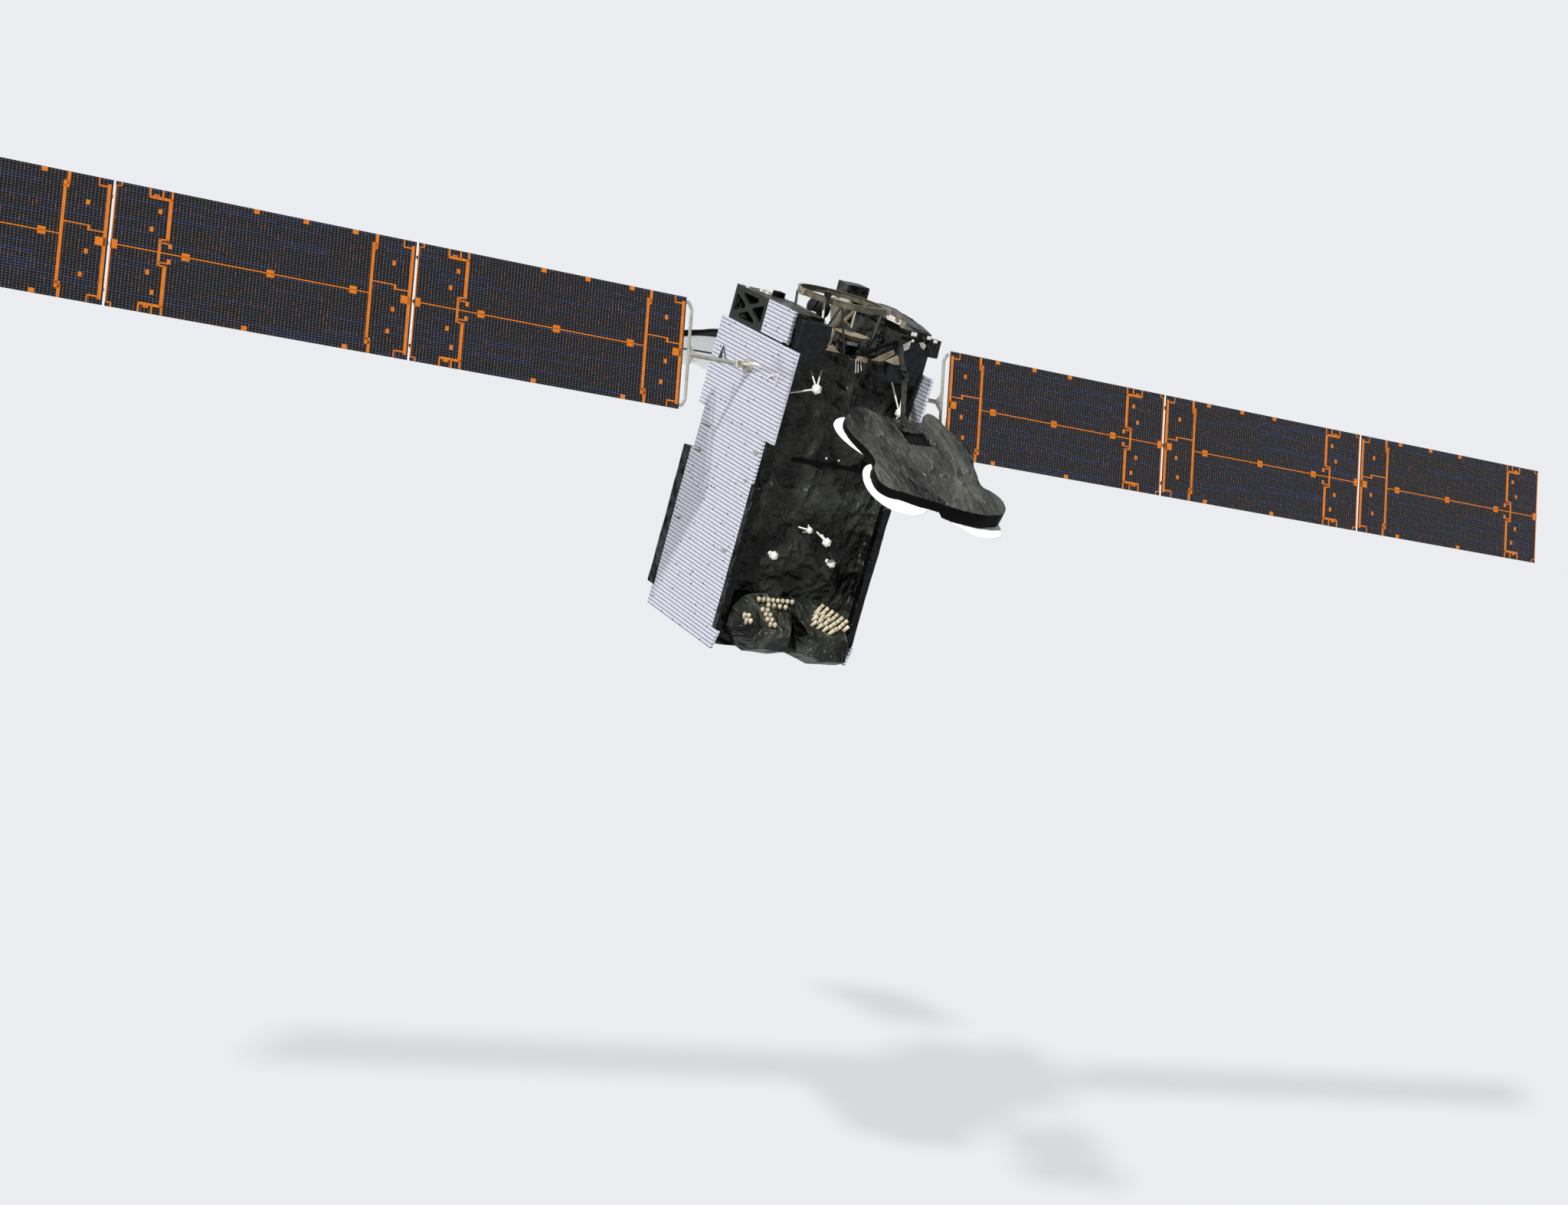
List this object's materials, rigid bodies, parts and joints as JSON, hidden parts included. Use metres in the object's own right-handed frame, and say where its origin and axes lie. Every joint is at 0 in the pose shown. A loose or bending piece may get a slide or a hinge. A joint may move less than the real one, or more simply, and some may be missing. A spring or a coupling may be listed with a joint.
{
  "type": "communications satellite",
  "caption": "Deployed communications satellite: box body with side radiators, folding solar wings on turning drives, swinging reflectors, feed horns, an engine and a launch ring.",
  "frame": {"origin": "centre of the launch ring's separation plane", "axes": "+Z out of the launch ring, away from the Earth deck; +Y along the north solar wing; +X to the east reflector"},
  "size_m": [8.451, 27.676, 4.976],
  "materials": {
    "blanket": "wrinkled black multilayer blanket",
    "radiator_tiles": "rows of small mirror tiles",
    "frame": "bare, satin",
    "white_paint": "matt white paint",
    "horn_cream": "cream paint",
    "solar_cells": "dark cells under cover glass",
    "reflector_white": "smooth white face",
    "carbon": "dark carbon fibre",
    "ring_alloy": "olive chromate",
    "engine_metal": "heat-tinted",
    "shield_metal": "silver-blue foil",
    "drive_metal": "satin"
  },
  "bodies": {
    "bus": {"bus_core": "blanket", "cheeks": "blanket", "lower_blankets": "blanket", "module_north": "blanket", "module_south": "blanket", "aprons": "blanket", "hood": "blanket", "tank": "blanket", "deck_box": "blanket", "feed_boxes_east": "blanket", "feed_boxes_west": "blanket", "radiator_north_upper": "radiator_tiles", "radiator_south_upper": "radiator_tiles", "radiator_north_lower": "radiator_tiles", "radiator_south_lower": "radiator_tiles", "mirror_panels": "radiator_tiles", "brace_frames": "frame", "hood_rail": "white_paint", "launch_ring": "ring_alloy", "ring_struts": "carbon", "apogee_engine": "engine_metal", "heat_shield": "shield_metal", "hold_downs_east": "white_paint", "hold_downs_west": "white_paint", "horns_east": "horn_cream", "horns_west": "horn_cream", "outrigger_east": "carbon", "outrigger_west": "carbon", "drive_housing_north": "drive_metal", "drive_housing_south": "drive_metal"},
    "root_north": {"drive_shaft_north": "drive_metal"},
    "yoke_arm_north": {"yoke_north": "white_paint", "yoke_bracket_north": "drive_metal"},
    "wing_north_1": {"panel_north_1": "solar_cells"},
    "wing_north_2": {"panel_north_2": "solar_cells"},
    "wing_north_3": {"panel_north_3": "solar_cells"},
    "root_south": {"drive_shaft_south": "drive_metal"},
    "yoke_arm_south": {"yoke_south": "white_paint", "yoke_bracket_south": "drive_metal"},
    "wing_south_1": {"panel_south_1": "solar_cells"},
    "wing_south_2": {"panel_south_2": "solar_cells"},
    "wing_south_3": {"panel_south_3": "solar_cells"},
    "reflector_east": {"reflector_back_east": "carbon", "reflector_dishes_east": "reflector_white", "reflector_arm_east": "carbon"},
    "reflector_west": {"reflector_back_west": "carbon", "reflector_dishes_west": "reflector_white", "reflector_arm_west": "carbon"}
  },
  "joints": [
    {"name": "drive_north", "type": "hinge", "parent": "bus", "child": "root_north", "pos_m": [0, 1.115, -1.17], "axis": [0, 1, 0], "continuous": true},
    {"name": "yoke_fold_north", "type": "hinge", "parent": "root_north", "child": "yoke_arm_north", "pos_m": [0, 1.3, -1.17], "axis": [0.3788, 0, -0.9255], "range_deg": [0, 90]},
    {"name": "panel_fold_north_1", "type": "hinge", "parent": "yoke_arm_north", "child": "wing_north_1", "pos_m": [-0.02406, 2.128, -1.17985], "axis": [-0.3788, 0, 0.9255], "range_deg": [0, 180]},
    {"name": "panel_fold_north_2", "type": "hinge", "parent": "wing_north_1", "child": "wing_north_2", "pos_m": [0.01666, 6.036, -1.16318], "axis": [0.3788, 0, -0.9255], "range_deg": [0, 180]},
    {"name": "panel_fold_north_3", "type": "hinge", "parent": "wing_north_2", "child": "wing_north_3", "pos_m": [-0.01666, 9.944, -1.17682], "axis": [-0.3788, 0, 0.9255], "range_deg": [0, 180]},
    {"name": "drive_south", "type": "hinge", "parent": "bus", "child": "root_south", "pos_m": [0, -1.115, -1.17], "axis": [0, -1, 0], "continuous": true},
    {"name": "yoke_fold_south", "type": "hinge", "parent": "root_south", "child": "yoke_arm_south", "pos_m": [0, -1.3, -1.17], "axis": [-0.3788, 0, 0.9255], "range_deg": [0, 90]},
    {"name": "panel_fold_south_1", "type": "hinge", "parent": "yoke_arm_south", "child": "wing_south_1", "pos_m": [-0.02406, -2.128, -1.17985], "axis": [0.3788, 0, -0.9255], "range_deg": [0, 180]},
    {"name": "panel_fold_south_2", "type": "hinge", "parent": "wing_south_1", "child": "wing_south_2", "pos_m": [0.01666, -6.036, -1.16318], "axis": [-0.3788, 0, 0.9255], "range_deg": [0, 180]},
    {"name": "panel_fold_south_3", "type": "hinge", "parent": "wing_south_2", "child": "wing_south_3", "pos_m": [-0.01666, -9.944, -1.17682], "axis": [0.3788, 0, -0.9255], "range_deg": [0, 180]},
    {"name": "reflector_stow_east", "type": "hinge", "parent": "bus", "child": "reflector_east", "pos_m": [1.53847, 0.312, -0.67453], "axis": [0, 1, 0], "range_deg": [0, 68]},
    {"name": "reflector_stow_west", "type": "hinge", "parent": "bus", "child": "reflector_west", "pos_m": [-1.53847, -0.312, -0.67453], "axis": [0, -1, 0], "range_deg": [0, 68]}
  ],
  "couplings": [
    {"joint": "panel_fold_north_1", "follows": "yoke_fold_north", "ratio": 2},
    {"joint": "panel_fold_north_2", "follows": "yoke_fold_north", "ratio": 2},
    {"joint": "panel_fold_north_3", "follows": "yoke_fold_north", "ratio": 2},
    {"joint": "panel_fold_south_1", "follows": "yoke_fold_south", "ratio": 2},
    {"joint": "panel_fold_south_2", "follows": "yoke_fold_south", "ratio": 2},
    {"joint": "panel_fold_south_3", "follows": "yoke_fold_south", "ratio": 2}
  ]
}
